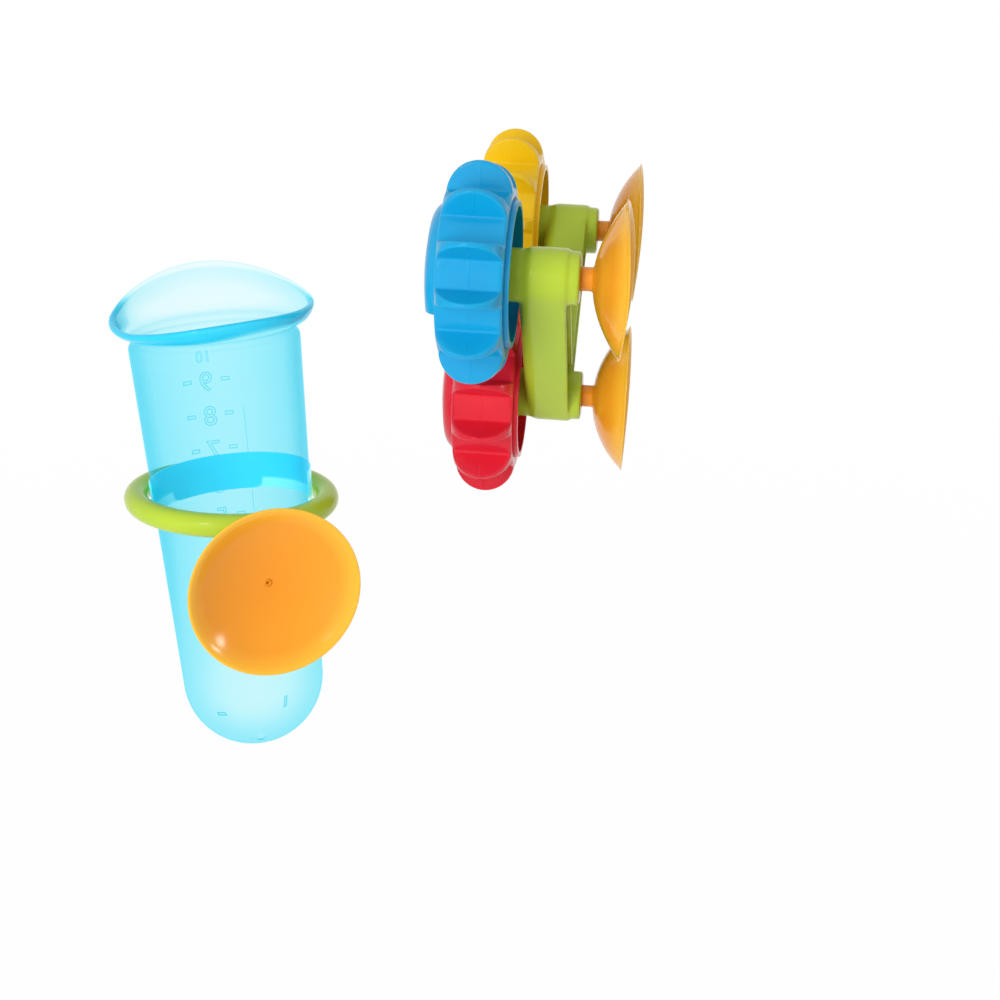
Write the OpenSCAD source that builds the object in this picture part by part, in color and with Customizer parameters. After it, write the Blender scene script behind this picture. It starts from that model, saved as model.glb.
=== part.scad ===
// Bath water-play set in two units that stick to a bath's walls by suction cups:
// three paddle wheels on a V-shaped frame, and a measuring tube in a ring holder.
// Millimetres, +Z up. The origin is the middle of the lower suction rim of the wheel unit.
// +X points into the wall that carries the wheels.

/* [Wheels] */
// Radius over the tips of the paddles
wheel_tip_r = 40.4; // [36:0.1:46]
// Radius of the drum that the paddles stand on
wheel_drum_r = 30.5; // [29:0.5:32]
// Width of the paddle ring along its axle
ring_w = 23.6; // [23.5:0.1:30]
// Wall of the paddle ring
ring_wall = 4.3; // [3:0.1:6]
// Number of paddles on a wheel
paddle_count = 12; // [8:1:14]
// Half width of a paddle, the radius of its round outline
paddle_half_w = 11.7; // [9.5:0.1:11.7]
// Thickness of a paddle where it leaves the drum
paddle_root_t = 5.6; // [4:0.1:7.5]
// Thickness of a paddle at its tip
paddle_tip_t = 1.8; // [1.4:0.1:3.6]
// Radius that breaks the edges of the ring
ring_edge_r = 1.2; // [0.5:0.1:1.8]
// Rest turn of the near wheel
near_turn = 7.2; // [0:0.1:30]
// Rest turn of the far wheel
far_turn = 20.9; // [0:0.1:30]
// Rest turn of the lower wheel
lower_turn = 15.4; // [0:0.1:30]

/* [Wheel hubs] */
// Wall of the hub drum inside the paddle ring
drum_wall = 2; // [1.5:0.1:3]
// How far the hub drum stands out behind the paddle ring
drum_proud = 1.7; // [1:0.1:4]
// Thickness of the web that carries the hub
web_t = 2.5; // [2:0.1:4]
// Outer radius of the hub sleeve
hub_r = 7; // [6:0.1:9]
// Length of the hub sleeve on its spindle
hub_len = 11.3; // [8:0.1:12]
// Depth of the front seat below the ring's front edge
cover_inset = 4.7; // [4.2:0.1:6]
// Thickness of a front cover's plate
cover_t = 2.5; // [2:0.1:3.5]
// Wall of a front cover's dome
dome_wall = 2; // [1.5:0.1:2.5]
// Base radius of a dome
dome_r = 25.2; // [21:0.1:25.6]
// How far a dome stands in front of the ring
dome_proud = 6.8; // [5.5:0.1:10]
// Radius of a dome's rounded edge
dome_edge_r = 7; // [4:0.1:7.2]
// Distance from the axle to the flat side of the near dome
near_dome_flat = 12.3; // [11:0.1:20]
// Number of drain holes in the far dome
drain_count = 6; // [3:1:9]
// Radius of a drain hole
drain_r = 2.2; // [1:0.1:3]
// Distance of the drain holes from the axle
drain_pitch_r = 12; // [9:0.1:14]

/* [Frame] */
// Gap between the paddle tips of neighbouring wheels
tip_gap = 2; // [1:0.1:10]
// Angle of the two frame arms above level
arm_angle = 43.5; // [36:0.5:50]
// Half width of a frame arm
arm_half_w = 10.5; // [10.2:0.1:14]
// Depth of the arms along the axles
arm_depth = 17.2; // [12:0.1:20]
// Wall of the arms
arm_wall = 2.4; // [1.8:0.1:3.5]
// Rounding of the arms' front edges
arm_edge_r = 5; // [2.6:0.1:6]
// Radius of a boss
boss_r = 9.6; // [8:0.1:10.1]
// How far a boss stands out behind the arms
boss_back = 4.6; // [1:0.1:6]
// How far a boss reaches into the wheel in front of it
boss_reach = 5.4; // [2:0.1:5.8]
// Gap between the arms and the wheels
wheel_gap = 1.4; // [0.6:0.1:4]

/* [Spindles] */
// Radius of a spindle
spindle_r = 4; // [3:0.1:5]
// Depth of a spindle in its boss
spindle_seat = 12; // [8:0.5:14]
// Radius of the spindle's collar
collar_r = 6.5; // [5.5:0.1:8]
// Thickness of the spindle's collar
collar_t = 2; // [1:0.1:3]
// Radius of a retaining washer
washer_r = 7; // [6:0.1:8]
// Thickness of a retaining washer
washer_t = 1; // [0.6:0.1:1.2]
// Radius of a screw's head
screw_head_r = 3.2; // [2.5:0.1:4]
// Height of a screw's head
screw_head_h = 1.8; // [1.2:0.1:2]
// Radius of a screw's shank
screw_r = 1.5; // [1:0.1:2]
// Length of a screw's shank
screw_len = 9; // [6:0.5:12]

/* [Suction cups] */
// Radius of the rims of the wheel unit's cups
wheel_cup_r = 28.5; // [25:0.5:34]
// Radius of the rim of the holder's cup
holder_cup_r = 30.4; // [25:0.1:34]
// Height of a suction cup from its rim to its back
cup_h = 14; // [11:0.5:17]
// Width of the flat land on the rim
cup_land = 1.2; // [0.8:0.1:2]
// Thickness of the cup at its middle
cup_mid_t = 3.2; // [2:0.1:4]
// Radius of the neck and the plug behind the cup
plug_r = 4.3; // [3.5:0.1:5]
// Length of neck that shows between the cup and a boss
neck_len = 4.2; // [2:0.1:6]
// Depth of the plug in a boss
plug_len = 9; // [6:0.5:10]

/* [Measuring tube] */
// Radius of the tube at its lower, round end
tube_low_r = 26.5; // [22:0.1:27]
// Radius of the tube at its shoulder
tube_top_r = 31.1; // [29.8:0.1:33]
// Length of the straight tapered wall
tube_len = 132; // [100:1:150]
// Height of the shoulder over the holder's ring
shoulder_z = 61; // [45:1:70]
// Wall of the tube
tube_wall = 1.8; // [1.4:0.1:2.4]
// Radius of the neck under the lip
neck_r = 29.4; // [28.5:0.1:29.6]
// Height of the neck from the shoulder to the lip
tube_neck_h = 2.8; // [2.4:0.1:5]
// Radius of the lip's bowl section
lip_curve_r = 7.6; // [6:0.1:8.4]
// Radius of the lip where its wall turns up
lip_r = 37.2; // [36.4:0.1:42]
// Flare of the lip's upper wall
lip_flare = 0.6; // [0:0.1:2]
// Lowest point of the rim over the shoulder
rim_low = 7.9; // [7:0.1:10]
// Radius of the sweep that shapes the rim into a scoop
rim_sweep_r = 108; // [95:1:140]
// Offset of the rim's lowest point from the tube's axis
rim_low_offset = 17; // [12:0.5:22]
// Tilt of the rim across the scoop
rim_tilt = 2.7; // [0:0.1:4]
// Direction of the scoop, turned from +X
scoop_turn = 114; // [0:1:180]
// Thickness of the collar round the side of the tube that faces away from the cup
collar_band_t = 0.6; // [0.4:0.05:0.7]
// Height of that collar
collar_band_h = 9.6; // [8:0.1:12]
// Middle of the collar over the middle of the ring
collar_z = 4.6; // [0:0.1:8]
// Direction of the collar's middle, turned from +X
collar_turn = 100; // [95:1:115]
// Part of the tube's round that the collar takes
collar_span = 206; // [150:1:206]
// Width of the tab below the collar
tab_w = 34; // [20:1:44]
// Depth of the tab below the middle of the collar
tab_h = 11.4; // [9.5:0.1:16]
// Rounding of the tab's corners
tab_corner_r = 4; // [2:0.1:4.5]
// Lean of the tube in its ring
tube_lean = 6.3; // [0:0.1:6.5]
// Gap left between the ring and the tube where it leans on the ring
lean_gap = 0.4; // [0.3:0.05:0.6]

/* [Tube holder] */
// Place of the holder's ring along X
holder_x = -143.3; // [-170:0.1:-135]
// Place of the holder's ring along Y
holder_y = -65.7; // [-90:0.1:-60]
// Height of the holder's ring
holder_z = -31.5; // [-60:0.1:0]
// Radius of the ring's round bar
ring_bar_r = 4.4; // [4:0.1:6]
// Play of the tube in the ring
ring_play = 1.6; // [1.4:0.05:2.5]
// Turn of the holder about the tube, from facing -Y towards +X
holder_turn = 28; // [0:0.5:45]
// Drop of the suction cup's axis below the ring
holder_drop = 15.7; // [15:0.1:20]
// Length of the holder's boss
holder_boss_len = 10; // [10:0.5:14]
// Radius of the holder's boss
holder_boss_r = 9; // [8:0.1:10]
// Width of the web between the ring and the boss
holder_web_w = 11; // [8:0.5:14]

/* [Fits] */
// Radial clearance of a hub on its spindle
run_fit = 0.06; // [0.02:0.01:0.1]
// Radial clearance of pieces that are pushed together
push_fit = 0.1; // [0.05:0.01:0.15]
// Play of a wheel along its spindle
end_play = 0.4; // [0.3:0.05:0.8]

/* [Hidden] */
$fn = 96;
cut = 1;

// Places along the axles, counted from the suction rims at x = 0
boss_back_x = -(cup_h + neck_len);
arm_back_x = boss_back_x - boss_back;
arm_front_x = arm_back_x - arm_depth;
drum_back_x = arm_front_x - wheel_gap;
ring_back_x = drum_back_x - drum_proud;
ring_front_x = ring_back_x - ring_w;
wheel_mid_x = (ring_back_x + ring_front_x) / 2;
seat_x = ring_front_x + cover_inset;
cover_front_x = seat_x - cover_t;
boss_front_x = drum_back_x - boss_reach;
collar_front_x = boss_front_x - collar_t;
hub_back_x = collar_front_x - end_play;
hub_front_x = hub_back_x - hub_len;
spindle_front_x = hub_front_x - end_play;

// Radii inside a wheel
ring_bore_r = wheel_drum_r - ring_wall;
drum_r = ring_bore_r - push_fit;
paddle_mid_r = wheel_tip_r - paddle_half_w;

// Places of the three axles in the wheel plane
axle_pitch = 2 * wheel_tip_r + tip_gap;
axle_y = axle_pitch * cos(arm_angle);
axle_z = axle_pitch * sin(arm_angle);
near_axle = [-axle_y, axle_z];
far_axle = [axle_y, axle_z];
lower_axle = [0, 0];

// Heights on the tube's own axis, counted from the plane of the holder's ring
tube_low_z = shoulder_z - tube_len;
lip_base_z = shoulder_z + tube_neck_h;
lip_turn_z = lip_base_z + lip_curve_r;
lip_top_z = shoulder_z + rim_low + rim_sweep_r / 4;
lip_curve_mid_r = lip_r - lip_curve_r;
rim_sweep_z = shoulder_z + rim_low + rim_sweep_r;
tube_taper = (tube_top_r - tube_low_r) / tube_len;
tube_ring_r = tube_top_r - tube_taper * shoulder_z;

// The holder's ring leaves play round the tube, which lies against its suction side
ring_mid_r = tube_ring_r / cos(tube_lean) + ring_play + ring_bar_r;
tube_shift = ring_play - lean_gap - ring_bar_r * sin(tube_lean) * sin(tube_lean);
holder_out = [sin(holder_turn), -cos(holder_turn)];
holder_boss_x = ring_mid_r;
holder_rim_x = holder_boss_x + holder_boss_len + neck_len + cup_h;

// The collar's tab is on the side of the tube that faces away from the cup
tab_turn = holder_turn + 90;

blue = [0.07, 0.66, 0.92];
yellow = [0.93, 0.76, 0.14];
red = [0.90, 0.18, 0.26];
green = [0.72, 0.82, 0.27];
orange = [0.97, 0.62, 0.16];
aqua = [0.42, 0.87, 0.96, 0.55];
steel = [0.75, 0.76, 0.78];
natural = [0.88, 0.88, 0.86];

// Puts a shape, drawn along +X round the X axis, on one of the three axles
module on_axle(axle) {
    translate([0, axle[0], axle[1]]) children();
}

// Turns an outline of [radius, x] points into a round solid about the X axis
module turned() {
    rotate([0, 90, 0]) rotate([0, 0, 180]) rotate_extrude() children();
}

// Straight round bar or hole about the X axis, from x0 to x1
module rod(r, x0, x1) {
    translate([x0, 0, 0]) rotate([0, 90, 0]) cylinder(r = r, h = x1 - x0);
}

// Rectangle with four round corners
module soft_rect(x0, y0, x1, y1, r) {
    translate([x0 + r, y0]) square([x1 - x0 - 2 * r, y1 - y0]);
    translate([x0, y0 + r]) square([x1 - x0, y1 - y0 - 2 * r]);
    for (x = [x0 + r, x1 - r], y = [y0 + r, y1 - r]) translate([x, y]) circle(r);
}

// Frame: two channel-shaped arms in a V, open at the back, with a boss on each axle

// Cross-section of an arm: its width along x and its depth along y, front edge at y = 0
module arm_section(half_w, depth, edge_r) {
    translate([-half_w, edge_r]) square([2 * half_w, depth - edge_r]);
    translate([edge_r - half_w, 0]) square([2 * (half_w - edge_r), depth]);
    for (side = [-1, 1]) translate([side * (half_w - edge_r), edge_r]) circle(edge_r);
}

// Both arms as a solid body from x0 back to x1, with round ends on the three axles
module arm_body(half_w, x0, x1, edge_r) {
    ends = [[near_axle, 180 - arm_angle, 180], [far_axle, arm_angle, 180],
        [lower_axle, -arm_angle, 2 * arm_angle]];
    for (side = [-1, 1])
        translate([x0, 0, 0]) rotate([side * (90 - arm_angle), 0, 0])
            rotate([0, 0, -90]) linear_extrude(axle_pitch) arm_section(half_w, x1 - x0, edge_r);
    for (end = ends)
        on_axle(end[0]) translate([x0, 0, 0]) rotate([0, 90, 0]) rotate([0, 0, end[1]])
            rotate_extrude(angle = end[2]) intersection() {
                arm_section(half_w, x1 - x0, edge_r);
                square([half_w, x1 - x0]);
            }
}

module gear_frame() {
    color(green) difference() {
        union() {
            difference() {
                arm_body(arm_half_w, arm_front_x, arm_back_x, arm_edge_r);
                arm_body(arm_half_w - arm_wall, arm_front_x + arm_wall, arm_back_x + cut,
                    arm_edge_r - arm_wall);
            }
            for (axle = [near_axle, far_axle, lower_axle])
                on_axle(axle) rod(boss_r, boss_front_x, boss_back_x);
        }
        for (axle = [near_axle, far_axle, lower_axle]) on_axle(axle) {
            rod(spindle_r + push_fit, boss_front_x - cut, boss_front_x + spindle_seat + push_fit);
            rod(plug_r + push_fit, boss_back_x - plug_len - push_fit, boss_back_x + cut);
        }
    }
}

// Spindles with a collar against the boss, and the washers and screws that keep the wheels on

module spindle(axle) {
    color(natural) on_axle(axle) difference() {
        union() {
            rod(spindle_r, spindle_front_x, boss_front_x + spindle_seat);
            rod(collar_r, collar_front_x, boss_front_x);
        }
        rod(screw_r + push_fit, spindle_front_x - cut, spindle_front_x + screw_len + cut);
    }
}

module spindle_washers() {
    color(steel) for (axle = [near_axle, far_axle, lower_axle]) on_axle(axle) difference() {
        rod(washer_r, spindle_front_x - washer_t, spindle_front_x);
        rod(screw_r + push_fit, spindle_front_x - washer_t - cut, spindle_front_x + cut);
    }
}

module spindle_screws() {
    head_x = spindle_front_x - washer_t;
    color(steel) for (axle = [near_axle, far_axle, lower_axle]) on_axle(axle) {
        rod(screw_head_r, head_x - screw_head_h, head_x);
        rod(screw_r, head_x, head_x + screw_len);
    }
}

// Suction cup about the X axis: rim at x = 0, with a neck and a plug behind it
module suction_cup(cup_r) {
    hollow_r = cup_r - cup_land;
    hollow_h = cup_h - cup_mid_t;
    back_ball_r = (cup_r * cup_r + cup_h * cup_h) / (2 * cup_h);
    front_ball_r = (hollow_r * hollow_r + hollow_h * hollow_h) / (2 * hollow_h);
    color(orange) difference() {
        union() {
            intersection() {
                translate([back_ball_r - cup_h, 0, 0]) sphere(back_ball_r);
                rod(cup_r + cut, -cup_h - cut, 0);
            }
            rod(plug_r, boss_back_x - plug_len, -cup_h + cup_mid_t / 2);
        }
        translate([front_ball_r - hollow_h, 0, 0]) sphere(front_ball_r);
    }
}

// Wheels: a paddle ring outside, a hub drum inside and a domed cover in front

// One paddle: a flat round tongue, thinner towards its tip
module paddle() {
    root_r = wheel_drum_r - ring_wall / 2;
    tip_x = wheel_tip_r + cut;
    slope = (paddle_root_t - paddle_tip_t) / 2 / (wheel_tip_r - wheel_drum_r);
    root_half = paddle_root_t / 2 + slope * (wheel_drum_r - root_r);
    tip_half = paddle_tip_t / 2 - slope * cut;
    intersection() {
        translate([wheel_mid_x, paddle_mid_r, -paddle_root_t])
            cylinder(r = paddle_half_w, h = 2 * paddle_root_t);
        translate([ring_front_x, 0, 0]) rotate([90, 0, 90]) linear_extrude(ring_w)
            polygon([[root_r, -root_half], [tip_x, -tip_half], [tip_x, tip_half], [root_r, root_half]]);
    }
}

module paddle_ring(axle, turn, tint) {
    color(tint) on_axle(axle) rotate([turn, 0, 0]) union() {
        turned() soft_rect(ring_bore_r, ring_front_x, wheel_drum_r, ring_back_x, ring_edge_r);
        for (i = [0 : paddle_count - 1]) rotate([i * 360 / paddle_count, 0, 0]) paddle();
    }
}

module hub_drum(axle, tint) {
    color(tint) on_axle(axle) difference() {
        union() {
            difference() {
                rod(drum_r, seat_x, drum_back_x);
                rod(drum_r - drum_wall, seat_x - cut, drum_back_x + cut);
            }
            rod(drum_r - drum_wall / 2, hub_front_x, hub_front_x + web_t);
            rod(hub_r, hub_front_x, hub_back_x);
        }
        rod(spindle_r + run_fit, hub_front_x - cut, hub_back_x + cut);
    }
}

// Flattened dome from its base at x = 0 forward to x = -h, with a straight part behind the base
module dome_body(base_r, edge_r, h, back) {
    flat_r = base_r - edge_r;
    rise = h - edge_r;
    crown_r = (flat_r * flat_r + rise * rise) / (2 * rise);
    turned() union() {
        square([base_r, back]);
        intersection() {
            translate([0, crown_r - h]) circle(crown_r);
            translate([0, -h - cut]) square([flat_r, h + cut]);
        }
        intersection() {
            translate([flat_r, 0]) circle(edge_r);
            translate([flat_r, -edge_r]) square(edge_r);
        }
    }
}

// Hollow domed cover, with a flat side at a distance below the axle
module front_dome(axle, tint, flat_z) {
    dome_h = cover_front_x - ring_front_x + dome_proud;
    color(tint) on_axle(axle) difference() {
        union() {
            rod(drum_r, cover_front_x, seat_x);
            dome_side(flat_z) translate([cover_front_x, 0, 0])
                dome_body(dome_r, dome_edge_r, dome_h, push_fit);
        }
        dome_side(flat_z - dome_wall) translate([cover_front_x, 0, 0])
            dome_body(dome_r - dome_wall, dome_edge_r - dome_wall, dome_h - dome_wall, cover_t + cut);
    }
}

// Keeps what lies above a flat side at the given distance below the axle
module dome_side(flat_z) {
    span = 2 * wheel_tip_r;
    intersection() {
        children();
        translate([ring_front_x - span, -span, -flat_z]) cube([2 * span, 2 * span, 2 * span]);
    }
}

module far_dome_drained() {
    color(yellow) difference() {
        front_dome(far_axle, yellow, wheel_tip_r);
        on_axle(far_axle) for (i = [0 : drain_count - 1])
            rotate([far_turn + i * 360 / drain_count, 0, 0]) translate([0, drain_pitch_r, 0])
                rod(drain_r, ring_front_x - dome_proud - cut, cover_front_x);
    }
}

// Tube holder: a round bar bent to a ring, a web and a boss for the suction cup

// Puts a shape, drawn along +X from the ring's middle, on the holder
module on_holder() {
    translate([holder_x, holder_y, holder_z]) rotate([0, 0, holder_turn - 90]) children();
}

module holder_ring() {
    web_x = ring_mid_r - ring_bar_r / 2;
    color(green) on_holder() difference() {
        union() {
            rotate_extrude() translate([ring_mid_r, 0]) circle(ring_bar_r);
            translate([web_x, -holder_web_w / 2, -holder_drop])
                cube([holder_boss_len / 2, holder_web_w, holder_drop]);
            translate([0, 0, -holder_drop])
                rod(holder_boss_r, holder_boss_x, holder_boss_x + holder_boss_len);
        }
        translate([0, 0, -holder_drop])
            rod(plug_r + push_fit, holder_boss_x + holder_boss_len - plug_len - push_fit,
                holder_boss_x + holder_boss_len + cut);
    }
}

// Measuring tube: round end, tapered wall, neck and a flared lip cut into a scoop

// Half outline of the tube in [radius, height], drawn in by t
module tube_half(t) {
    intersection() {
        translate([0, tube_low_z]) circle(tube_low_r - t);
        translate([0, tube_low_z - tube_low_r]) square([tube_low_r, tube_low_r]);
    }
    polygon([[0, tube_low_z], [tube_low_r - t, tube_low_z], [tube_top_r - t, shoulder_z],
        [neck_r - t, shoulder_z + tube_top_r - neck_r],
        [neck_r - t, lip_base_z + tube_wall], [0, lip_base_z + tube_wall]]);
    intersection() {
        translate([lip_curve_mid_r, lip_turn_z]) circle(lip_curve_r - t);
        translate([lip_curve_mid_r, lip_base_z]) square([lip_curve_r, lip_curve_r]);
    }
    polygon([[0, lip_base_z + t], [lip_curve_mid_r, lip_base_z + t], [lip_curve_mid_r, lip_turn_z],
        [lip_r - t, lip_turn_z], [lip_r + lip_flare - t, lip_top_z], [0, lip_top_z]]);
}

// Puts a shape, drawn round the tube's own axis, where the tube leans in the ring
module on_tube() {
    translate([holder_x + tube_shift * holder_out[0], holder_y + tube_shift * holder_out[1], holder_z])
        rotate([0, -tube_lean, 0]) children();
}

// Collar and tab: a thin band on the tapered wall, cut to the collar's height and the tab's outline
module tube_collar() {
    z0 = collar_z - tab_h - cut;
    z1 = collar_z + collar_band_h / 2 + cut;
    r0 = tube_ring_r + tube_taper * z0;
    r1 = tube_ring_r + tube_taper * z1;
    intersection() {
        rotate([0, 0, collar_turn - collar_span / 2]) rotate_extrude(angle = collar_span)
            polygon([[r0 - tube_wall / 2, z0], [r0 + collar_band_t, z0],
                [r1 + collar_band_t, z1], [r1 - tube_wall / 2, z1]]);
        union() {
            translate([0, 0, collar_z - collar_band_h / 2])
                cylinder(r = 2 * tube_ring_r, h = collar_band_h);
            rotate([0, 0, tab_turn]) rotate([90, 0, 90]) linear_extrude(1.5 * tube_ring_r)
                soft_rect(-tab_w / 2, collar_z - tab_h, tab_w / 2, collar_z, tab_corner_r);
        }
    }
}

module measuring_tube() {
    color(aqua) on_tube() {
        difference() {
            rotate_extrude() tube_half(0);
            rotate_extrude() tube_half(tube_wall);
            rotate([0, 0, scoop_turn]) translate([-rim_low_offset, 0, rim_sweep_z])
                rotate([90 - rim_tilt, 0, 0]) cylinder(r = rim_sweep_r, h = 4 * lip_r, center = true);
        }
        tube_collar();
    }
}

gear_frame();
spindle(near_axle);  // near_spindle
spindle(far_axle);  // far_spindle
spindle(lower_axle);  // lower_spindle
spindle_washers();
spindle_screws();
on_axle(near_axle) suction_cup(wheel_cup_r);  // near_suction_cup
on_axle(far_axle) suction_cup(wheel_cup_r);  // far_suction_cup
on_axle(lower_axle) suction_cup(wheel_cup_r);  // lower_suction_cup
paddle_ring(near_axle, near_turn, blue);  // near_paddle_ring
hub_drum(near_axle, blue);  // near_hub_drum
front_dome(near_axle, blue, near_dome_flat);  // near_front_dome
paddle_ring(far_axle, far_turn, yellow);  // far_paddle_ring
hub_drum(far_axle, yellow);  // far_hub_drum
far_dome_drained();  // far_front_dome
paddle_ring(lower_axle, lower_turn, red);  // lower_paddle_ring
hub_drum(lower_axle, red);  // lower_hub_drum
front_dome(lower_axle, red, wheel_tip_r);  // lower_front_dome
holder_ring();
on_holder() translate([holder_rim_x, 0, -holder_drop]) suction_cup(holder_cup_r);  // holder_suction_cup
measuring_tube();
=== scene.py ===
import math

import bpy
from mathutils import Matrix, Vector


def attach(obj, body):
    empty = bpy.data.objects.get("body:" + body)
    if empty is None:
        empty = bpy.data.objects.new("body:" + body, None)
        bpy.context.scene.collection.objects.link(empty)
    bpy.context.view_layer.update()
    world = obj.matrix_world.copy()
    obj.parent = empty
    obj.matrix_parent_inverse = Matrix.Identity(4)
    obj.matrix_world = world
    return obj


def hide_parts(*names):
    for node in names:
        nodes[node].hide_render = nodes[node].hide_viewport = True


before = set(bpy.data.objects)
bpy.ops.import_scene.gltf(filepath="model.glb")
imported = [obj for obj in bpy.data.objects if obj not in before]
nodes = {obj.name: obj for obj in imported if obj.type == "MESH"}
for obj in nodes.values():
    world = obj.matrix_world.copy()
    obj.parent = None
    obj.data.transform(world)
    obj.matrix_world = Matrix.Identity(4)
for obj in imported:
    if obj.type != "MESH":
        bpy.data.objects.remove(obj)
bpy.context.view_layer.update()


# Camera
# A short telephoto view from the near side, a little above the wheels, with the slight roll
# that the picture has.
camera_data = bpy.data.cameras.new("photo_camera")
camera_data.sensor_width = 36.0
camera_data.lens = 61.5
photo_camera = bpy.data.objects.new("photo_camera", camera_data)
photo_camera.matrix_world = (
    Matrix.Translation((0.01202, -0.66196, 0.16064))
    @ Matrix.Rotation(math.radians(5.27), 4, "Z")
    @ Matrix.Rotation(math.radians(90 - 17.26), 4, "X")
    @ Matrix.Rotation(math.radians(2.55), 4, "Z")
)
bpy.context.scene.collection.objects.link(photo_camera)
bpy.context.scene.camera = photo_camera
bpy.context.scene.view_settings.view_transform = "Standard"


# Studio
# A white floor under the set, a broad soft lamp in front at the left and one overhead, which
# only light, and two small weak ones that also show in the gloss. What the camera, gloss and
# clear plastic see of the surroundings is plain white.
def white_for_seen_rays(tree):
    path = tree.nodes.new("ShaderNodeLightPath")
    seen = path.outputs["Is Camera Ray"]
    for ray in ("Is Glossy Ray", "Is Transmission Ray"):
        either = tree.nodes.new("ShaderNodeMath")
        either.operation = "MAXIMUM"
        tree.links.new(seen, either.inputs[0])
        tree.links.new(path.outputs[ray], either.inputs[1])
        seen = either.outputs[0]
    return seen


studio = bpy.data.worlds.new("studio")
studio.use_nodes = True
studio_tree = studio.node_tree
studio_tree.nodes.clear()
ambient = studio_tree.nodes.new("ShaderNodeBackground")
ambient.inputs["Color"].default_value = (0.97, 0.985, 1.0, 1)
ambient.inputs["Strength"].default_value = 0.39
white = studio_tree.nodes.new("ShaderNodeBackground")
white.inputs["Color"].default_value = (1, 1, 1, 1)
white.inputs["Strength"].default_value = 1.0
either_sky = studio_tree.nodes.new("ShaderNodeMixShader")
sky_out = studio_tree.nodes.new("ShaderNodeOutputWorld")
studio_tree.links.new(white_for_seen_rays(studio_tree), either_sky.inputs["Fac"])
studio_tree.links.new(ambient.outputs[0], either_sky.inputs[1])
studio_tree.links.new(white.outputs[0], either_sky.inputs[2])
studio_tree.links.new(either_sky.outputs[0], sky_out.inputs["Surface"])
bpy.context.scene.world = studio

bpy.ops.object.select_all(action="DESELECT")
floor_r, floor_z = 4, -0.26
bpy.ops.mesh.primitive_circle_add(
    vertices=96, radius=floor_r, fill_type="NGON", location=(0, 0, floor_z)
)
floor = bpy.context.object
floor.name = "floor"
bpy.ops.object.transform_apply(location=True)
floor_paint = bpy.data.materials.new("floor_paint")
floor_paint.use_nodes = True
floor_tree = floor_paint.node_tree
floor_tree.nodes.clear()
matt = floor_tree.nodes.new("ShaderNodeBsdfDiffuse")
matt.inputs["Color"].default_value = (0.92, 0.92, 0.92, 1)
glow = floor_tree.nodes.new("ShaderNodeEmission")
glow.inputs["Strength"].default_value = 1.0
floor_place = floor_tree.nodes.new("ShaderNodeTexCoord")
floor_reach = floor_tree.nodes.new("ShaderNodeVectorMath")
floor_reach.operation = "LENGTH"
floor_fade = floor_tree.nodes.new("ShaderNodeMapRange")
floor_fade.inputs["From Min"].default_value = 0.3
floor_fade.inputs["From Max"].default_value = 1.2
floor_fade.inputs["To Min"].default_value = 0.975
floor_fade.inputs["To Max"].default_value = 1.0
floor_share = floor_tree.nodes.new("ShaderNodeMath")
floor_share.operation = "MULTIPLY"
floor_mix = floor_tree.nodes.new("ShaderNodeMixShader")
floor_out = floor_tree.nodes.new("ShaderNodeOutputMaterial")
floor_tree.links.new(floor_place.outputs["Object"], floor_reach.inputs[0])
floor_tree.links.new(floor_reach.outputs["Value"], floor_fade.inputs["Value"])
floor_tree.links.new(white_for_seen_rays(floor_tree), floor_share.inputs[0])
floor_tree.links.new(floor_fade.outputs["Result"], floor_share.inputs[1])
floor_tree.links.new(floor_share.outputs[0], floor_mix.inputs["Fac"])
floor_tree.links.new(matt.outputs[0], floor_mix.inputs[1])
floor_tree.links.new(glow.outputs[0], floor_mix.inputs[2])
floor_tree.links.new(floor_mix.outputs[0], floor_out.inputs["Surface"])
floor.data.materials.append(floor_paint)


def soft_lamp(name, place, aim, size, watts, glints):
    lamp_data = bpy.data.lights.new(name, "AREA")
    lamp_data.shape = "DISK"
    lamp_data.size = size
    lamp_data.energy = watts
    lamp = bpy.data.objects.new(name, lamp_data)
    lamp.location = place
    lamp.visible_glossy = glints
    lamp.rotation_euler = (Vector(aim) - Vector(place)).to_track_quat("-Z", "Y").to_euler()
    bpy.context.scene.collection.objects.link(lamp)


soft_lamp("key_lamp", (-0.45, -1.1, 0.04), (-0.07, 0, 0.0), 0.8, 8.0, False)
soft_lamp("top_lamp", (0.05, -0.3, 1.2), (0.0, 0, 0.0), 1.0, 2.5, False)
soft_lamp("glint_lamp", (-0.42, -1.05, 0.5), (-0.07, 0, 0.0), 0.2, 1.5, True)
soft_lamp("side_lamp", (0.86, -0.09, 0.17), (-0.1, -0.08, -0.03), 0.14, 1.0, True)


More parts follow.
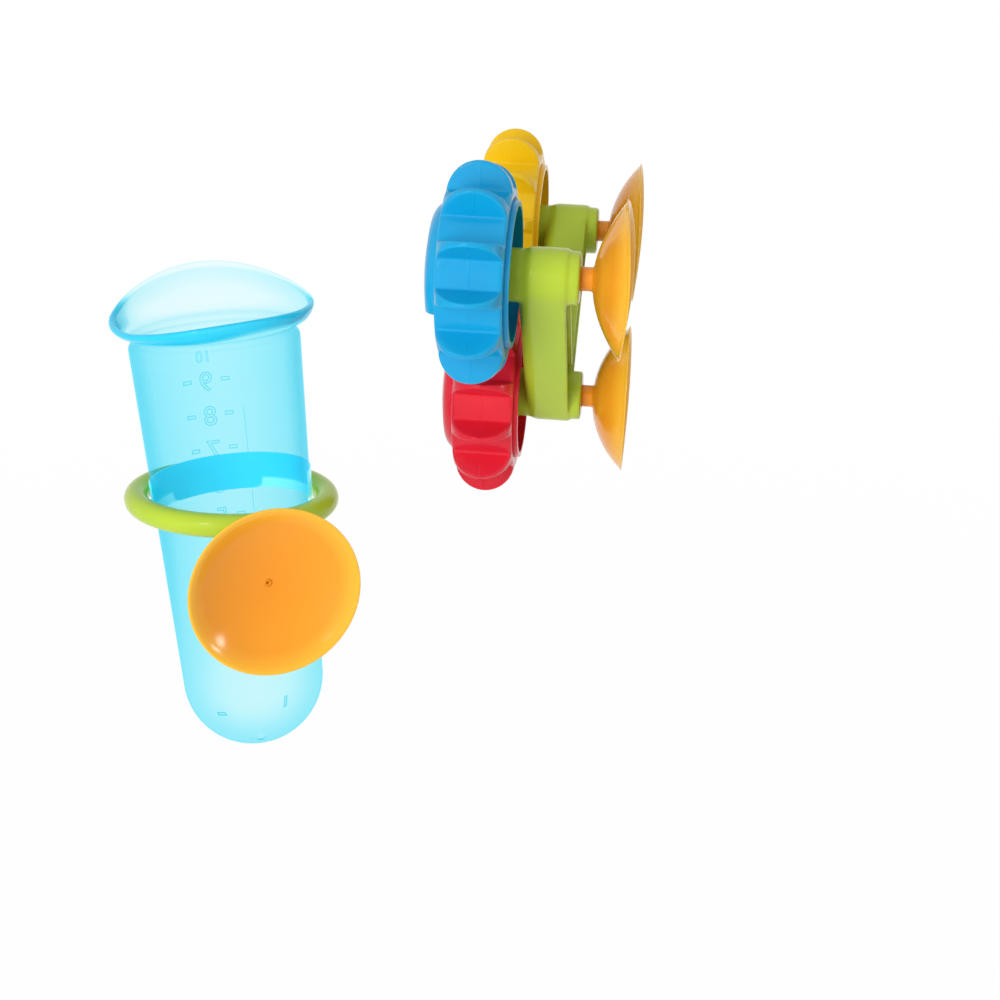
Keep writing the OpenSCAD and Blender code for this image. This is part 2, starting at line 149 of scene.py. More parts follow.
# V frame of the wheels
# One green ABS moulding: two channel arms, open at the back, and three bosses for the axles.
# The mould's corners are soft, so the solid's edges are rounded, and it leaves a fine peel.
def moulded_plastic(name, colour, shade, gloss_rough, seam_x=None):
    paint = bpy.data.materials.new(name)
    paint.use_nodes = True
    tree = paint.node_tree
    skin = tree.nodes["Principled BSDF"]
    skin.inputs["IOR"].default_value = 1.5
    skin.inputs["Specular IOR Level"].default_value = 0.26
    place = tree.nodes.new("ShaderNodeTexCoord")
    cloud = tree.nodes.new("ShaderNodeTexNoise")
    cloud.inputs["Scale"].default_value = 38.0
    cloud.inputs["Detail"].default_value = 3.0
    tint = tree.nodes.new("ShaderNodeValToRGB")
    tint.color_ramp.elements[0].position = 0.15
    tint.color_ramp.elements[0].color = (*shade, 1)
    tint.color_ramp.elements[1].position = 0.85
    tint.color_ramp.elements[1].color = (*colour, 1)
    rough = tree.nodes.new("ShaderNodeMapRange")
    rough.inputs["To Min"].default_value = gloss_rough * 0.85
    rough.inputs["To Max"].default_value = gloss_rough * 1.2
    fine = tree.nodes.new("ShaderNodeTexNoise")
    fine.inputs["Scale"].default_value = 900.0
    fine.inputs["Detail"].default_value = 2.0
    relief = tree.nodes.new("ShaderNodeBump")
    relief.inputs["Strength"].default_value = 0.05
    relief.inputs["Distance"].default_value = 0.0002
    tree.links.new(place.outputs["Object"], cloud.inputs["Vector"])
    tree.links.new(place.outputs["Object"], fine.inputs["Vector"])
    tree.links.new(cloud.outputs["Fac"], tint.inputs["Fac"])
    tree.links.new(tint.outputs["Color"], skin.inputs["Base Color"])
    tree.links.new(cloud.outputs["Fac"], rough.inputs["Value"])
    tree.links.new(rough.outputs["Result"], skin.inputs["Roughness"])
    tree.links.new(fine.outputs["Fac"], relief.inputs["Height"])
    tree.links.new(relief.outputs["Normal"], skin.inputs["Normal"])
    if seam_x is not None:
        parts = tree.nodes.new("ShaderNodeSeparateXYZ")
        off_seam = tree.nodes.new("ShaderNodeMath")
        off_seam.operation = "SUBTRACT"
        off_seam.inputs[1].default_value = seam_x
        from_seam = tree.nodes.new("ShaderNodeMath")
        from_seam.operation = "ABSOLUTE"
        ridge = tree.nodes.new("ShaderNodeMapRange")
        ridge.inputs["From Max"].default_value = 0.0004
        ridge.inputs["To Min"].default_value = 1.0
        ridge.inputs["To Max"].default_value = 0.0
        parting = tree.nodes.new("ShaderNodeBump")
        parting.inputs["Strength"].default_value = 0.35
        parting.inputs["Distance"].default_value = 0.0002
        tree.links.new(place.outputs["Object"], parts.inputs[0])
        tree.links.new(parts.outputs["X"], off_seam.inputs[0])
        tree.links.new(off_seam.outputs[0], from_seam.inputs[0])
        tree.links.new(from_seam.outputs[0], ridge.inputs["Value"])
        tree.links.new(ridge.outputs["Result"], parting.inputs["Height"])
        tree.links.new(relief.outputs["Normal"], parting.inputs["Normal"])
        tree.links.new(parting.outputs["Normal"], skin.inputs["Normal"])
    return paint


def finish_node(node, paint):
    nodes[node].data.materials.clear()
    nodes[node].data.materials.append(paint)


def softened(node, body, paint, cell, rounds):
    bpy.ops.object.select_all(action="DESELECT")
    piece = bpy.data.objects.new(f"{node}_moulding", nodes[node].data.copy())
    bpy.context.scene.collection.objects.link(piece)
    bpy.context.view_layer.objects.active = piece
    piece.select_set(True)
    bpy.ops.object.mode_set(mode="EDIT")
    bpy.ops.mesh.select_all(action="SELECT")
    bpy.ops.mesh.remove_doubles(threshold=0.000002)
    bpy.ops.object.mode_set(mode="OBJECT")
    skin = piece.modifiers.new("skin", "REMESH")
    skin.mode = "VOXEL"
    skin.voxel_size = cell
    bpy.ops.object.modifier_apply(modifier="skin")
    soft = piece.modifiers.new("soft", "SMOOTH")
    soft.factor = 0.5
    soft.iterations = rounds
    bpy.ops.object.modifier_apply(modifier="soft")
    bpy.ops.object.shade_smooth()
    piece.data.materials.clear()
    piece.data.materials.append(paint)
    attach(piece, body)
    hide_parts(node)


green_abs = moulded_plastic("green_abs", (0.49, 0.66, 0.045), (0.45, 0.61, 0.038), 0.2)
frame_cell, frame_rounds = 0.0006, 12
softened("gear_frame", "base", green_abs, frame_cell, frame_rounds)


# Spindles, washers and screws
# Natural acetal axles pushed into the bosses, and plated steel washers and screws that keep
# the hubs on; they are covered by the front domes.
acetal = moulded_plastic("acetal", (0.74, 0.74, 0.70), (0.68, 0.68, 0.64), 0.38)
plated_steel = moulded_plastic("plated_steel", (0.60, 0.61, 0.63), (0.52, 0.53, 0.55), 0.24)
plated_steel.node_tree.nodes["Principled BSDF"].inputs["Metallic"].default_value = 1.0
for node in ("near_spindle", "far_spindle", "lower_spindle"):
    finish_node(node, acetal)
for node in ("spindle_washers", "spindle_screws"):
    finish_node(node, plated_steel)


# Wheels
# Each wheel is three ABS mouldings of one colour: the ring with its round tongues, the drum
# with the hub pressed into it, and the domed cover over the axle's end. The two halves of the
# ring's mould meet in the middle of its width and leave a fine parting line there.
ring_mid_x, wheel_rough = -0.0549, 0.2
ring_cell, ring_rounds = 0.00045, 3
dome_cell, dome_rounds = 0.0005, 5
for side, slot, colour, shade in (
    ("near", "blue", (0.005, 0.375, 0.70), (0.004, 0.35, 0.66)),
    ("far", "yellow", (0.96, 0.60, 0.008), (0.90, 0.55, 0.006)),
    ("lower", "red", (0.83, 0.018, 0.042), (0.77, 0.014, 0.034)),
):
    wheel_abs = moulded_plastic(f"{slot}_abs", colour, shade, wheel_rough, ring_mid_x)
    softened(f"{side}_paddle_ring", f"{side}_wheel", wheel_abs, ring_cell, ring_rounds)
    softened(f"{side}_front_dome", f"{side}_wheel", wheel_abs, dome_cell, dome_rounds)
    finish_node(f"{side}_hub_drum", wheel_abs)


# Suction cups
# Soft orange vinyl: a shallow bell, paler and yellower near its thin rolled rim, partly the thin
# vinyl itself and partly painted light shining through it, a gate mark in the middle of its
# hollow, and a short neck with a plug that is pushed into its boss. The upper cups have sprung
# back a little at the top and bottom of their rims.
def turned_piece(name, outline, steps):
    bpy.ops.object.select_all(action="DESELECT")
    bpy.ops.mesh.primitive_plane_add(size=0.001)
    piece = bpy.context.object
    piece.name = name
    bpy.ops.object.mode_set(mode="EDIT")
    bpy.ops.mesh.select_all(action="SELECT")
    bpy.ops.mesh.merge(type="CENTER")
    bpy.ops.transform.translate(value=(outline[0][0], 0, outline[0][1]))
    for before, after in zip(outline, outline[1:]):
        step = (after[0] - before[0], 0, after[1] - before[1])
        bpy.ops.mesh.extrude_vertices_move(TRANSFORM_OT_translate={"value": step})
    bpy.ops.mesh.select_all(action="SELECT")
    bpy.ops.mesh.spin(steps=steps, angle=2 * math.pi, center=(0, 0, 0), axis=(0, 0, 1))
    bpy.ops.mesh.select_all(action="SELECT")
    bpy.ops.mesh.remove_doubles(threshold=0.000005)
    bpy.ops.mesh.normals_make_consistent(inside=False)
    bpy.ops.object.mode_set(mode="OBJECT")
    bpy.ops.object.shade_smooth()
    return piece


def cup_outline(rim_r):
    height, middle, land = 0.014, 0.0032, 0.0012
    neck_r, neck_length, plug_length = 0.0043, 0.0042, 0.009
    root_r, rim_turn = neck_r + 0.0009, 0.0006
    bell_steps, hollow_steps = 28, 30
    plug_end = height + neck_length + plug_length
    back_ball = (rim_r**2 + height**2) / (2 * height)
    hollow_r, hollow_h = rim_r - land, height - middle
    front_ball = (hollow_r**2 + hollow_h**2) / (2 * hollow_h)
    plug = [(0, plug_end), (neck_r * 0.8, plug_end), (neck_r, plug_end - 0.0009)]
    fillet = ((0, 0.0012), (0, 0.0003), (0.00015, 0), (0.0005, -0.0003))
    rim_roll = (
        (-0.0001, 0.00055), (0.0001, 0.0003), (0, 0.00008), (-0.0003, 0), (-0.0008, 0.00006)
    )
    gate = ((0.0013, -0.0001), (0.001, -0.0004), (0.0007, -0.0002), (0.0005, 0.0011), (0, 0.0014))
    line = plug + [(neck_r + out, height + up) for out, up in fillet]
    for i in range(bell_steps + 1):
        r = root_r + (rim_r - rim_turn - root_r) * i / bell_steps
        line.append((r, height - back_ball + math.sqrt(back_ball**2 - r**2)))
    line += [(rim_r + out, up) for out, up in rim_roll]
    line.append((hollow_r, 0.0003))
    for i in range(1, hollow_steps):
        r = hollow_r * (1 - i / hollow_steps)
        line.append((r, hollow_h - front_ball + math.sqrt(front_ball**2 - r**2)))
    return line + [(r, hollow_h + up) for r, up in gate]


def soft_vinyl():
    paint = bpy.data.materials.new("orange_vinyl")
    paint.use_nodes = True
    tree = paint.node_tree
    skin = tree.nodes["Principled BSDF"]
    skin.inputs["IOR"].default_value = 1.5
    skin.inputs["Specular IOR Level"].default_value = 0.3
    skin.inputs["Subsurface Weight"].default_value = 0.12
    skin.inputs["Subsurface Scale"].default_value = 0.003
    skin.inputs["Subsurface Radius"].default_value = (1.0, 0.5, 0.1)
    # The colour lightens toward the rim: partly the thinner vinyl, partly painted light shining
    # through it.
    thin_glow = tree.nodes.new("ShaderNodeAttribute")
    thin_glow.attribute_name = "thin_rim_glow"
    tint = tree.nodes.new("ShaderNodeValToRGB")
    tint.color_ramp.elements[0].position = 0.0
    tint.color_ramp.elements[0].color = (0.86, 0.305, 0.013, 1)
    tint.color_ramp.elements[1].position = 1.0
    tint.color_ramp.elements[1].color = (1.0, 0.51, 0.035, 1)
    paler = tint.color_ramp.elements.new(0.78)
    paler.color = (0.90, 0.345, 0.017, 1)
    place = tree.nodes.new("ShaderNodeTexCoord")
    cloud = tree.nodes.new("ShaderNodeTexNoise")
    cloud.inputs["Scale"].default_value = 60.0
    cloud.inputs["Detail"].default_value = 3.0
    rough = tree.nodes.new("ShaderNodeMapRange")
    rough.inputs["To Min"].default_value = 0.12
    rough.inputs["To Max"].default_value = 0.22
    relief = tree.nodes.new("ShaderNodeBump")
    relief.inputs["Strength"].default_value = 0.12
    relief.inputs["Distance"].default_value = 0.0006
    tree.links.new(thin_glow.outputs["Fac"], tint.inputs["Fac"])
    tree.links.new(tint.outputs["Color"], skin.inputs["Base Color"])
    tree.links.new(place.outputs["Object"], cloud.inputs["Vector"])
    tree.links.new(cloud.outputs["Fac"], rough.inputs["Value"])
    tree.links.new(rough.outputs["Result"], skin.inputs["Roughness"])
    tree.links.new(cloud.outputs["Fac"], relief.inputs["Height"])
    tree.links.new(relief.outputs["Normal"], skin.inputs["Normal"])
    return paint


def suction_cup(node, rim_r, place, sprung):
    piece = turned_piece(f"{node}_vinyl", cup_outline(rim_r), 96)
    # Share of the rim's lightening, growing outward: partly thin vinyl, partly painted light
    # shining through.
    thin_rim_glow = piece.data.attributes.new("thin_rim_glow", "FLOAT", "POINT")
    for point in piece.data.vertices:
        out = math.hypot(point.co.x, point.co.y) / rim_r
        thin_rim_glow.data[point.index].value = min(1.0, out)
        point.co.z += sprung * out**3 * (point.co.x / rim_r) ** 2
    piece.data.materials.append(orange_vinyl)
    piece.matrix_world = place
    bpy.ops.object.transform_apply(location=True, rotation=True, scale=True)
    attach(piece, "base")
    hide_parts(node)


orange_vinyl = soft_vinyl()
axle_y, axle_z, wheel_cup_r = 0.06006, 0.0570, 0.0285
rim_to_wall = Matrix.Rotation(math.radians(-90), 4, "Y")
for node, y, z, sprung in (
    ("near_suction_cup", -axle_y, axle_z, 0.003),
    ("far_suction_cup", axle_y, axle_z, 0.0017),
    ("lower_suction_cup", 0, 0, 0.0006),
):
    suction_cup(node, wheel_cup_r, Matrix.Translation((0, y, z)) @ rim_to_wall, sprung)


# Ring holder of the tube
# One green ABS moulding: a round bar bent to a ring, and a web with a boss for its cup. The cup
# is of the same vinyl as those of the wheels and a little larger. It is at rest.
holder_cell, holder_rounds = 0.0006, 8
holder_place, holder_turn, holder_cup_r = (-0.113559, -0.121635, -0.0472), 28 - 90, 0.0304
softened("holder_ring", "base", green_abs, holder_cell, holder_rounds)
holder_rim = (
    Matrix.Translation(holder_place) @ Matrix.Rotation(math.radians(holder_turn), 4, "Z")
)
suction_cup("holder_suction_cup", holder_cup_r, holder_rim @ rim_to_wall, 0.0)


# Measuring tube
# Clear blue-tinted polypropylene, blown thin: a round end, a tapered wall, a rounded shoulder
# over a tight neck, and a bowl-shaped lip whose rim is cut to a scoop. Its tint is kept on the
# outer face; it deepens where that is met at a slant, and on the thick low side of the lip.
# The clear plastic also glows a little in its own colour: painted light that lifts its shaded
# parts.
low_r, top_r, low_z, shoulder_z = 0.0265, 0.0311, -0.071, 0.061
neck_r, lip_base_z, lip_turn_r, lip_r = 0.0294, 0.0638, 0.0076, 0.0372
tube_wall, rim_extra = 0.0018, 0.0006
tube_at, tube_lean = (-0.142762, -0.066713, -0.0315), -6.3
tube_place = Matrix.Translation(tube_at) @ Matrix.Rotation(math.radians(tube_lean), 4, "Y")


def wall_radius(z):
    return low_r + (top_r - low_r) * (z - low_z) / (shoulder_z - low_z)


def rim_height(angle):
    sweep_r, low_offset, low_over_shoulder = 0.108, 0.017, 0.0079
    high_side, side_tilt = math.radians(114), math.radians(2.7)
    scoop = angle - high_side
    along = lip_r * math.cos(scoop) + low_offset
    tilt = lip_r * math.sin(scoop) * math.tan(side_tilt)
    return shoulder_z + low_over_shoulder + sweep_r - math.sqrt(sweep_r**2 - along**2) - tilt


def tube_outline(angle):
    end_steps, wall_steps, lip_steps, rim_steps, thick_rows = 20, 40, 14, 8, 4
    pip_r, pip_foot_r, pip_h = 0.0012, 0.0018, 0.0006
    shoulder_turn, lip_flare, lip_arc = 0.0024, 0.02, math.radians(84)
    shoulder = (
        (-0.0001, -0.0014), (-0.0003, -0.0006), (-0.0007, 0.0001),
        (-0.0012, 0.0006), (-0.00155, 0.0011),
    )
    end_z = low_z - low_r
    outer = [(0, end_z - pip_h), (pip_r, end_z - pip_h), (pip_foot_r, end_z + 0.0001)]
    for i in range(2, end_steps + 1):
        a = math.radians(-90 + 90 * i / end_steps)
        outer.append((low_r * math.cos(a), low_z + low_r * math.sin(a)))
    for i in range(1, wall_steps + 1):
        z = low_z + (shoulder_z - shoulder_turn - low_z) * i / wall_steps
        outer.append((wall_radius(z), z))
    outer += [(top_r + dr, shoulder_z + dz) for dr, dz in shoulder]
    outer.append((neck_r + 0.0002, lip_base_z - 0.0009))
    lip_start = len(outer)
    lip_mid_r, lip_mid_z = lip_r - lip_turn_r, lip_base_z + lip_turn_r
    rim_over = rim_height(angle) - tube_wall / 2 - rim_extra / 2 - lip_mid_z
    for i in range(lip_steps + 1):
        if rim_over < 0:
            a = (lip_arc + math.asin(rim_over / lip_turn_r)) * i / lip_steps - lip_arc
        else:
            a = (lip_arc + rim_over / lip_turn_r) * i / lip_steps - lip_arc
        if a < 0:
            r, z = lip_mid_r + lip_turn_r * math.cos(a), lip_mid_z + lip_turn_r * math.sin(a)
            outer.append((r, z))
        else:
            straight = a * lip_turn_r
            outer.append((lip_r + lip_flare * straight, lip_mid_z + straight))
    inner = []
    for i, (r, z) in enumerate(outer):
        before, after = outer[max(i - 1, 0)], outer[min(i + 1, len(outer) - 1)]
        run = math.hypot(after[0] - before[0], after[1] - before[1])
        inward = (-(after[1] - before[1]) / run, (after[0] - before[0]) / run)
        wall = tube_wall + rim_extra * max(0, i + 1 - len(outer) + thick_rows) / thick_rows
        inner.append((max(0, r + wall * inward[0]), z + wall * inward[1]))
    for i, (r, up) in enumerate(((0, 0.0018), (pip_r, 0.00182), (pip_foot_r, 0.00187))):
        inner[i] = (r, end_z + up)
    (r0, z0), (r1, z1) = outer[-1], inner[-1]
    over = (outer[-1][0] - outer[-2][0], outer[-1][1] - outer[-2][1])
    reach = 0.5 * math.hypot(r1 - r0, z1 - z0) / math.hypot(*over)
    rim = []
    for i in range(1, rim_steps):
        a = math.pi * i / rim_steps
        share = 0.5 - 0.5 * math.cos(a)
        rim.append((
            r0 + (r1 - r0) * share + over[0] * reach * math.sin(a),
            z0 + (z1 - z0) * share + over[1] * reach * math.sin(a),
        ))
    return outer + rim + inner[::-1], lip_start, len(outer) + len(rim)


def clear_aqua(name, colour):
    paint = bpy.data.materials.new(name)
    paint.use_nodes = True
    tree = paint.node_tree
    skin = tree.nodes["Principled BSDF"]
    skin.inputs["IOR"].default_value = 1.49
    skin.inputs["Specular IOR Level"].default_value = 0.3
    # The emission is a painted glow: the clear plastic lights itself a little in its dye colour,
    # which lifts its shaded parts.
    skin.inputs["Emission Strength"].default_value = 0.36
    through = tree.nodes.new("ShaderNodeBsdfTransparent")
    both = tree.nodes.new("ShaderNodeMixShader")
    thick = tree.nodes.new("ShaderNodeAttribute")
    thick.attribute_name = "tint_depth"
    slant = tree.nodes.new("ShaderNodeLayerWeight")
    slant.inputs["Blend"].default_value = 0.5
    slant_part = tree.nodes.new("ShaderNodeMath")
    slant_part.operation = "MULTIPLY_ADD"
    slant_part.inputs[1].default_value = 0.5
    depth = tree.nodes.new("ShaderNodeMapRange")
    depth.inputs["From Min"].default_value = -0.5
    depth.inputs["From Max"].default_value = 1.0
    share = tree.nodes.new("ShaderNodeValToRGB")
    tint = tree.nodes.new("ShaderNodeValToRGB")
    for stop, clear, cover in (
        (0.00, (0.985, 0.998, 1.0), 0.012),
        (0.33, (0.80, 0.985, 1.0), 0.03),
        (0.42, (0.66, 0.962, 1.0), 0.055),
        (0.53, (0.58, 0.945, 0.995), 0.10),
        (0.66, (0.40, 0.91, 0.985), 0.30),
        (0.90, (0.36, 0.90, 0.985), 0.62),
        (1.00, (0.30, 0.88, 0.98), 0.93),
    ):
        for ramp, value in ((tint, clear), (share, (cover, cover, cover))):
            ends = {0.0: 0, 1.0: len(ramp.color_ramp.elements) - 1}
            if stop in ends:
                element = ramp.color_ramp.elements[ends[stop]]
            else:
                element = ramp.color_ramp.elements.new(stop)
            element.color = (*value, 1)
    cloudy = tree.nodes.new("ShaderNodeAttribute")
    cloudy.attribute_name = "cloudy_edge"
    dye_and_glow = tree.nodes.new("ShaderNodeValToRGB")
    dye_and_glow.color_ramp.elements[0].color = (*colour, 1)
    dye_and_glow.color_ramp.elements[1].color = (0.95, 1.0, 1.0, 1)
    tree.links.new(cloudy.outputs["Fac"], dye_and_glow.inputs["Fac"])
    tree.links.new(dye_and_glow.outputs["Color"], skin.inputs["Base Color"])
    tree.links.new(dye_and_glow.outputs["Color"], skin.inputs["Emission Color"])
    place = tree.nodes.new("ShaderNodeTexCoord")
    ripple = tree.nodes.new("ShaderNodeTexNoise")
    ripple.inputs["Scale"].default_value = 45.0
    ripple.inputs["Detail"].default_value = 2.0
    relief = tree.nodes.new("ShaderNodeBump")
    relief.inputs["Strength"].default_value = 0.06
    relief.inputs["Distance"].default_value = 0.0006
    rough = tree.nodes.new("ShaderNodeMapRange")
    rough.inputs["To Min"].default_value = 0.06
    rough.inputs["To Max"].default_value = 0.16
    tree.links.new(place.outputs["Object"], ripple.inputs["Vector"])
    tree.links.new(ripple.outputs["Fac"], relief.inputs["Height"])
    tree.links.new(ripple.outputs["Fac"], rough.inputs["Value"])
    tree.links.new(rough.outputs["Result"], skin.inputs["Roughness"])
    tree.links.new(relief.outputs["Normal"], skin.inputs["Normal"])
    tree.links.new(slant.outputs["Facing"], slant_part.inputs[0])
    tree.links.new(thick.outputs["Fac"], slant_part.inputs[2])
    tree.links.new(slant_part.outputs[0], depth.inputs["Value"])
    tree.links.new(depth.outputs["Result"], share.inputs["Fac"])
    tree.links.new(depth.outputs["Result"], tint.inputs["Fac"])
    tree.links.new(tint.outputs["Color"], through.inputs["Color"])
    tree.links.new(share.outputs["Color"], both.inputs["Fac"])
    tree.links.new(through.outputs[0], both.inputs[1])
    tree.links.new(skin.outputs[0], both.inputs[2])
    tree.links.new(both.outputs[0], tree.nodes["Material Output"].inputs["Surface"])
    return paint


def ease(value, start, end):
    part = min(1.0, max(0.0, (value - start) / (end - start)))
    return part * part * (3 - 2 * part)


aqua_wall = clear_aqua("aqua_wall", (0.008, 0.46, 0.68))
stand_in, lip_start, rim_end = tube_outline(0)
row_h, row_r, tube_steps, last = 0.001, 0.03, 144, len(stand_in) - 1
rows = [(0 if j in (0, last) else row_r, row_h * j) for j in range(last + 1)]
tube = turned_piece("tube_shell", rows, tube_steps)
tube_tint = tube.data.attributes.new("tint_depth", "FLOAT", "POINT")
end_tint, wall_more, bowl_less = -0.07, 0.17, 0.22
lip_tint, rim_tint, inside_tint = 0.92, -0.4, -1.0
lip_low_side = math.radians(272)
outlines = {}
for point in tube.data.vertices:
    row = round(point.co.z / row_h)
    angle = math.atan2(point.co.y, point.co.x)
    quarter_degree = round(math.degrees(angle) * 4)
    if quarter_degree not in outlines:
        outlines[quarter_degree] = tube_outline(angle)[0]
    r, z = outlines[quarter_degree][row]
    point.co = (r * math.cos(angle), r * math.sin(angle), z)
    up_lip = row - lip_start
    in_bowl = ease(up_lip, -1, 3) * (1 - ease(up_lip, 4, 14))
    in_wall = end_tint + wall_more * ease(z, -0.085, -0.005) - bowl_less * in_bowl
    if up_lip > 13:
        in_wall = rim_tint
    off_low = math.degrees(math.acos(math.cos(angle - lip_low_side)))
    lip_foot = 2 + 5 * ease(math.cos(angle), 0.0, 0.8)
    in_lip = (1 - ease(off_low, 80, 120)) * ease(up_lip, lip_foot, lip_foot + 5)
    outside_tint = in_wall + (lip_tint - in_wall) * in_lip
    tube_tint.data[point.index].value = outside_tint if row <= rim_end else inside_tint
tube.data.materials.append(aqua_wall)
bpy.ops.object.mode_set(mode="EDIT")
bpy.ops.mesh.select_all(action="SELECT")
bpy.ops.mesh.normals_make_consistent(inside=False)
bpy.ops.object.mode_set(mode="OBJECT")
tube.matrix_world = tube_place
bpy.ops.object.transform_apply(location=True, rotation=True, scale=True)
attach(tube, "tube")
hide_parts("measuring_tube")


# Painted shade band on the tube
# A thin, deeper-tinted sheet on the side of the tube that faces away from the cup, with a
# tab-shaped lobe below it: painted shade where the ring behind the far wall blocks the light from
# behind. It sits just over the ring and is the deepest in tint. Beside the lobe the band runs out
# below in a pale, cloudy edge.
shade_band_mid, shade_band_half, shade_band_columns, shade_band_rows = math.radians(100), math.radians(103), 104, 28
shade_band_low_z, shade_band_high_z, cloudy_h, cloud_fade = -0.0002, 0.0094, 0.0042, 0.0008
shade_band_lift, shade_band_thick = 0.00002, 0.00058
shade_tab_angle, shade_tab_half_w, shade_tab_low_z, shade_tab_corner = math.radians(119), 0.0176, -0.0048, 0.0035


def band_edge(angle):
    across = abs(wall_radius(0) * math.sin(angle - shade_tab_angle))
    if across > shade_tab_half_w or math.cos(angle - shade_tab_angle) < 0:
        return shade_band_low_z
    into_corner = max(0.0, across - shade_tab_half_w + shade_tab_corner)
    return shade_tab_low_z + shade_tab_corner - math.sqrt(shade_tab_corner**2 - into_corner**2)


shade_tab_reach = math.asin(shade_tab_half_w / wall_radius(0))
columns = [
    shade_band_mid - shade_band_half + 2 * shade_band_half * i / (shade_band_columns - 1)
    for i in range(shade_band_columns)
]
for shade_tab_side in (shade_tab_angle - shade_tab_reach, shade_tab_angle + shade_tab_reach):
    columns += [shade_tab_side + step for step in (-0.0002, -0.0001, 0.0001, 0.0002)]
columns.sort()
bpy.ops.object.select_all(action="DESELECT")
bpy.ops.mesh.primitive_grid_add(
    x_subdivisions=len(columns) - 1, y_subdivisions=shade_band_rows, size=2
)
collar = bpy.context.object
collar.name = "tube_collar"
for point in collar.data.vertices:
    angle = columns[round((point.co.x + 1) / 2 * (len(columns) - 1))]
    low = min(band_edge(angle), shade_band_low_z - cloudy_h)
    z = low + (shade_band_high_z - low) * (point.co.y + 1) / 2
    r = wall_radius(z) + shade_band_lift
    point.co = (r * math.cos(angle), r * math.sin(angle), z)
bpy.ops.object.mode_set(mode="EDIT")
bpy.ops.mesh.select_all(action="SELECT")
bpy.ops.mesh.normals_make_consistent(inside=False)
bpy.ops.object.mode_set(mode="OBJECT")
shell = collar.modifiers.new("shell", "SOLIDIFY")
shell.thickness = shade_band_thick
shell.offset = 1.0
bpy.ops.object.modifier_apply(modifier="shell")
bpy.ops.object.shade_smooth_by_angle(angle=math.radians(40))
shade_band_tint = collar.data.attributes.new("tint_depth", "FLOAT", "POINT")
shade_band_cloud = collar.data.attributes.new("cloudy_edge", "FLOAT", "POINT")
for point in collar.data.vertices:
    edge = band_edge(math.atan2(point.co.y, point.co.x))
    shade_band_tint.data[point.index].value = 1.0
    shade_band_cloud.data[point.index].value = 1 - ease(point.co.z, edge - cloud_fade, edge)
# The band's deep, nearly opaque tint is painted shade where the ring behind the far wall blocks the
# light from behind.
collar.data.materials.append(clear_aqua("aqua_shade_band", (0.19, 0.77, 0.89)))
collar.matrix_world = tube_place
bpy.ops.object.transform_apply(location=True, rotation=True, scale=True)
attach(collar, "tube")


# Scale on the tube
# Plain numerals with a short dash on each side, raised on the outside of the far wall, so they
# show reversed through the tube. Only their edges catch light. What falls under the painted shade
# band is sunk in it. A fine mould line runs down beside them.
def wrap_on_wall(mark, mid_angle, mid_z, faint):
    sunk_out, sunk_share = 0.0003, 0.3
    for point in mark.data.vertices:
        across, up, out = point.co
        z = mid_z + up
        r = wall_radius(z) if z > low_z else math.sqrt(low_r**2 - (z - low_z) ** 2)
        angle = mid_angle + across / r
        r += sunk_out + sunk_share * out if shade_tab_low_z < z < shade_band_high_z else out
        point.co = (r * math.cos(angle), r * math.sin(angle), z)
    mark_tint = mark.data.attributes.new("tint_depth", "FLOAT", "POINT")
    for point in mark.data.vertices:
        mark_tint.data[point.index].value = faint
    mark.data.materials.clear()
    mark.data.materials.append(aqua_wall)
    mark.matrix_world = tube_place
    bpy.ops.object.transform_apply(location=True, rotation=True, scale=True)
    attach(mark, "tube")


def raised_words(name, words, size, place):
    bpy.ops.object.select_all(action="DESELECT")
    bpy.ops.object.text_add()
    mark = bpy.context.object
    mark.name = name
    mark.data.body = words
    mark.data.size = size
    mark.data.align_x = "CENTER"
    mark.data.align_y = "CENTER"
    mark.data.fill_mode = "NONE"
    mark.data.bevel_depth = 0.00022
    mark.data.bevel_resolution = 1
    bpy.ops.object.convert(target="MESH")
    bpy.ops.object.shade_smooth()
    wrap_on_wall(bpy.context.object, *place)


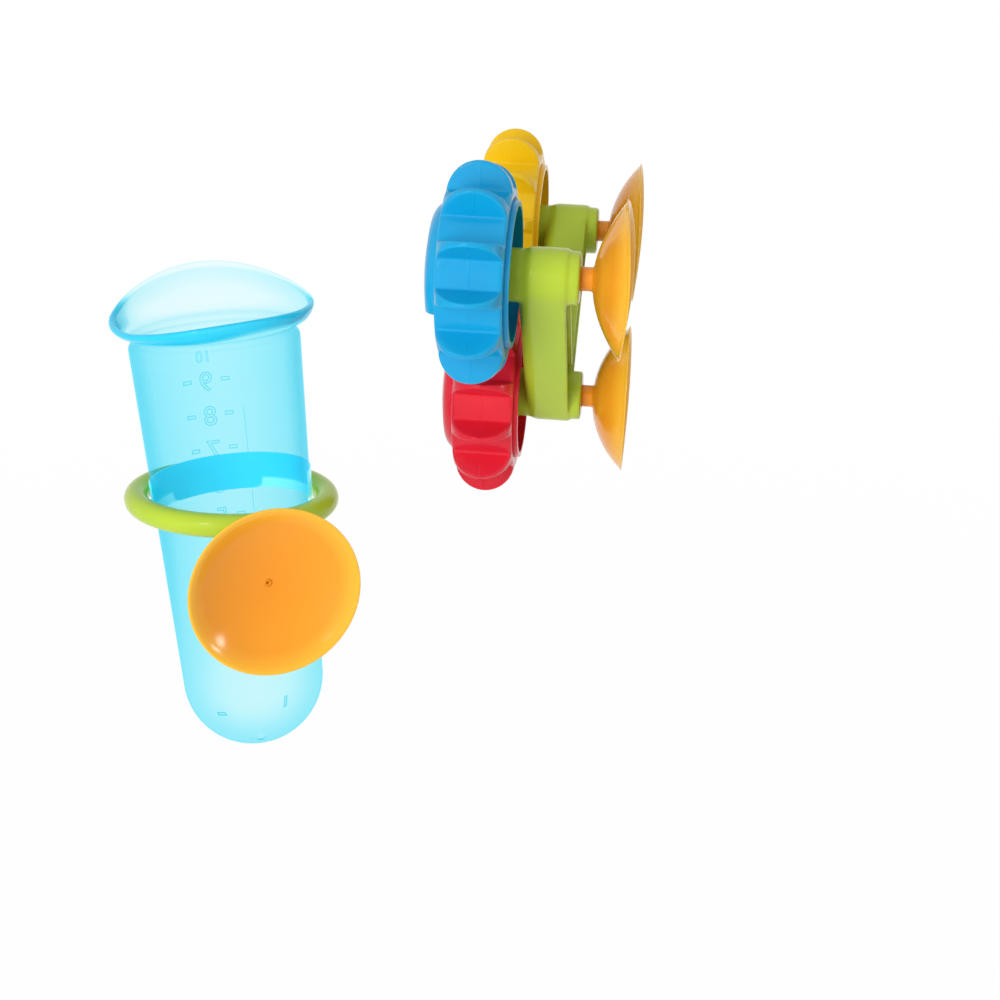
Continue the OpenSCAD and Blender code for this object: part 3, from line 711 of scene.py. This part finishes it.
def raised_strip(name, width, height, place, turn=0, hollow=True):
    bpy.ops.object.select_all(action="DESELECT")
    bpy.ops.mesh.primitive_plane_add(size=1)
    mark = bpy.context.object
    mark.name = name
    mark.scale = (width, height, 1)
    mark.rotation_euler = (0, 0, math.radians(turn))
    bpy.ops.object.transform_apply(location=False, rotation=True, scale=True)
    bpy.ops.object.mode_set(mode="EDIT")
    bpy.ops.mesh.select_all(action="SELECT")
    if hollow:
        bpy.ops.mesh.inset(thickness=0.0004, depth=0)
        bpy.ops.mesh.delete(type="FACE")
        bpy.ops.mesh.select_all(action="SELECT")
    bpy.ops.mesh.subdivide(number_cuts=2)
    bpy.ops.object.mode_set(mode="OBJECT")
    shell = mark.modifiers.new("shell", "SOLIDIFY")
    shell.thickness = 0.0003
    shell.offset = 1.0
    bpy.ops.object.modifier_apply(modifier="shell")
    wrap_on_wall(mark, *place)


scale_angle, scale_pitch, nine_z = math.radians(116), 0.0134, 0.038
dash_w, dash_h, dash_across, dash_up = 0.0034, 0.0016, 0.0073, 0.0009
for number in range(1, 11):
    z = nine_z + scale_pitch * (number - 9)
    size, drop, faint = (0.0105, 0, 0.03) if number < 10 else (0.006, 0.0035, -0.15)
    raised_words(f"scale_{number}", str(number), size, (scale_angle, z - drop, faint))
    if number not in (6, 10):
        for side, label in ((-1, "left"), (1, "right")):
            beside = scale_angle + side * dash_across / wall_radius(z)
            place = (beside, z + dash_up, faint)
            raised_strip(f"scale_dash_{number}_{label}", dash_w, dash_h, place)
end_w, end_h, end_faint = 0.0036, 0.0012, 0.1
for label, angle, z, turn in (("left", 69, -0.0900, 65), ("right", 157, -0.0905, 20)):
    raised_strip(f"end_dash_{label}", end_w, end_h, (math.radians(angle), z, end_faint), turn)
line_angle, line_w, line_faint = math.radians(91), 0.0003, -0.1
for label, length, z in (("upper", 0.018, 0.0186), ("lower", 0.060, -0.0360)):
    place = (line_angle, z, line_faint)
    raised_strip(f"mould_line_{label}", line_w, length, place, hollow=False)
